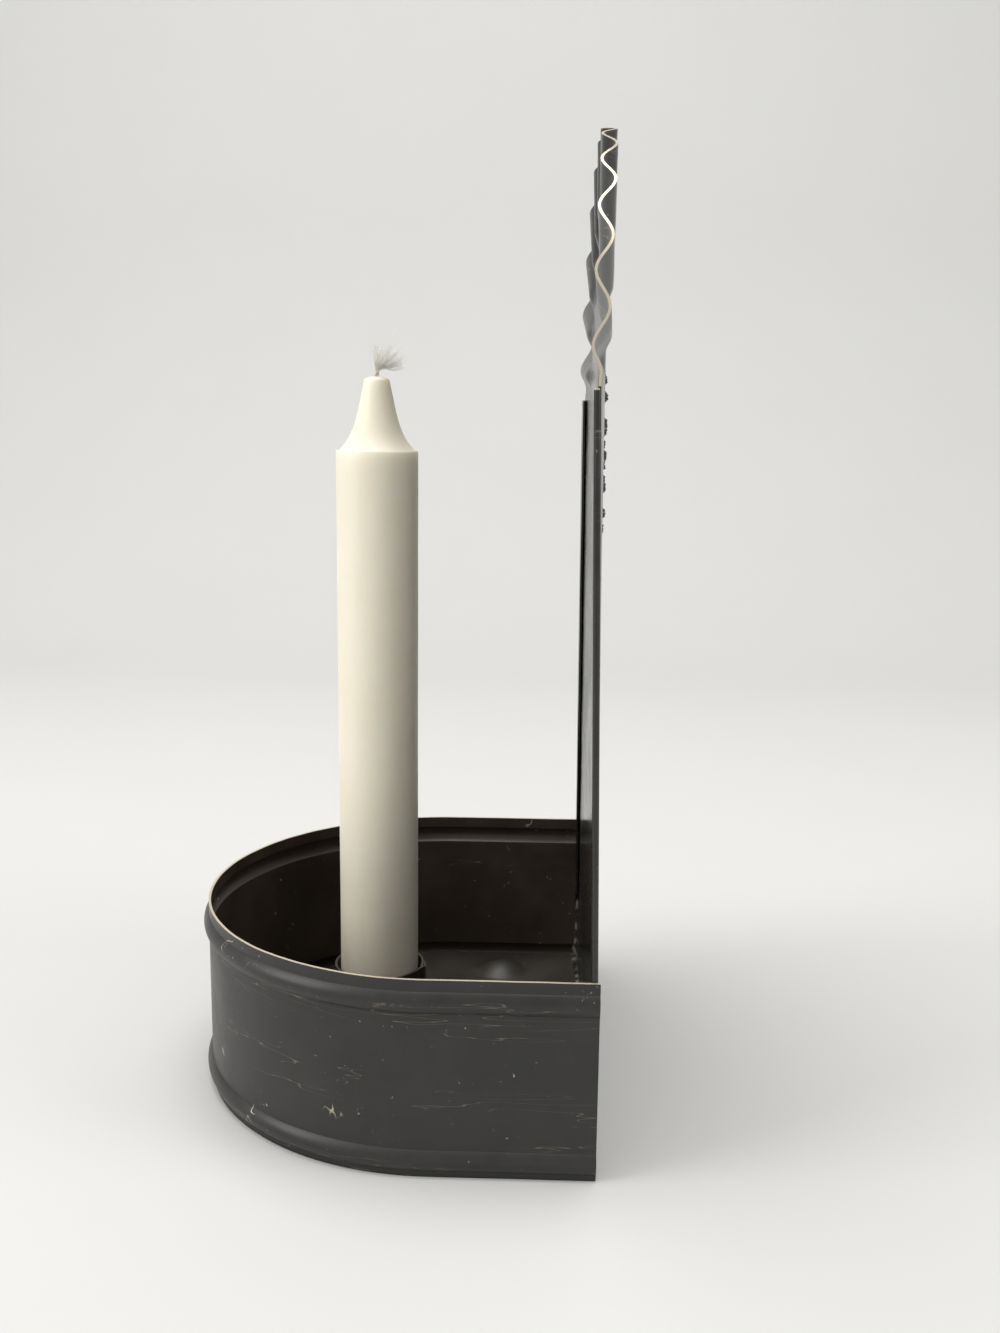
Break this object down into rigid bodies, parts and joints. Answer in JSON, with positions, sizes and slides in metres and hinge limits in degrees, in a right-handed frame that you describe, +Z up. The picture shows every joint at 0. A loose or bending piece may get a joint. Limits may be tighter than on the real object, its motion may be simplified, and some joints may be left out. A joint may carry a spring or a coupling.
{
  "type": "punched tin candle sconce",
  "caption": "Tinplate wall sconce: a hemmed back plate with a crimped fan top and a punched rosette, on a beaded D-shaped tray with a tube socket and a lift-out candle.",
  "frame": {"origin": "middle of the back plate's bottom edge, on the surface that the sconce stands on", "axes": "+Z up along the back plate, +Y towards the wall that it hangs on, +X across it"},
  "size_m": [0.1276, 0.1042, 0.2398],
  "materials": {
    "plate_tin": "glossy black japan over tinplate, bare along the crimped rim",
    "wall_tin": "semi-gloss black japan, worn to bare metal on the beads and rim",
    "floor_tin": "dull black japan over tinplate",
    "socket_tin": "thin black japan over tinplate",
    "solder": "dull soft solder, blacked over",
    "wax": "satin ivory wax",
    "cotton": "frayed braided cotton"
  },
  "bodies": {
    "sconce": {"back_plate": "plate_tin", "tray_wall": "wall_tin", "tray_floor": "floor_tin", "candle_socket": "socket_tin", "corner_solder_left": "solder", "corner_solder_right": "solder", "floor_solder": "solder", "socket_solder": "solder"},
    "candle": {"candle": "wax", "wick": "cotton"}
  },
  "joints": [
    {"name": "candle_lift", "type": "slide", "parent": "sconce", "child": "candle", "axis": [0, 0, 1], "range_m": [0, 0.06]}
  ]
}
